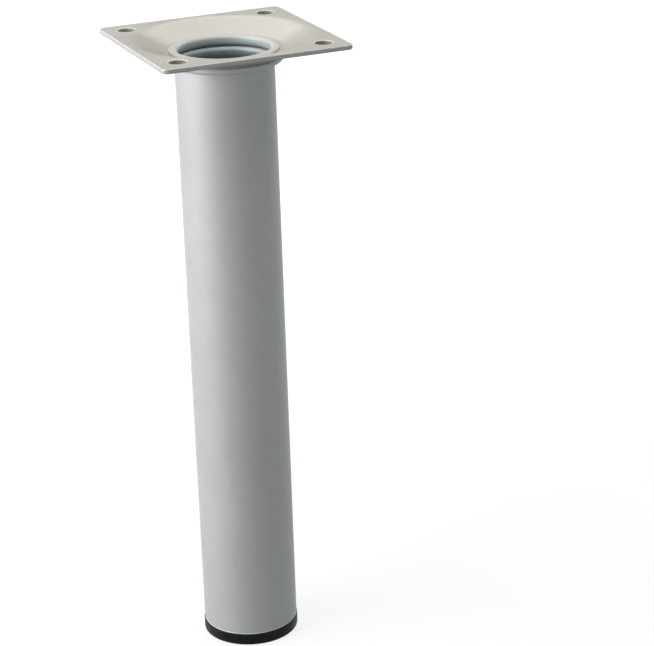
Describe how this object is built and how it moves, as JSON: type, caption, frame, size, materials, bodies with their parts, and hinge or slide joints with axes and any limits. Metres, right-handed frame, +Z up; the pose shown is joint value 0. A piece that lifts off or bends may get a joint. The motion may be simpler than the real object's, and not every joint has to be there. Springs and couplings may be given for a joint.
{
  "type": "furniture leg",
  "caption": "Round steel furniture leg with a dished square mounting plate clinched on its top end and a push-in plastic foot cap.",
  "frame": {"origin": "centre of the foot's underside, where the leg stands on the floor", "axes": "+Z up along the tube towards the mounting plate, X and Y along the plate's sides"},
  "size_m": [0.06, 0.06, 0.2],
  "materials": {
    "plate_paint": "satin silver-grey paint with a very fine metallic grain",
    "tube_paint": "satin silver-grey paint with a very fine metallic grain",
    "cap_plastic": "black moulded plastic with a soft sheen"
  },
  "bodies": {
    "root": {"mounting_plate": "plate_paint", "leg_tube": "tube_paint", "foot_cap": "cap_plastic"}
  },
  "joints": []
}
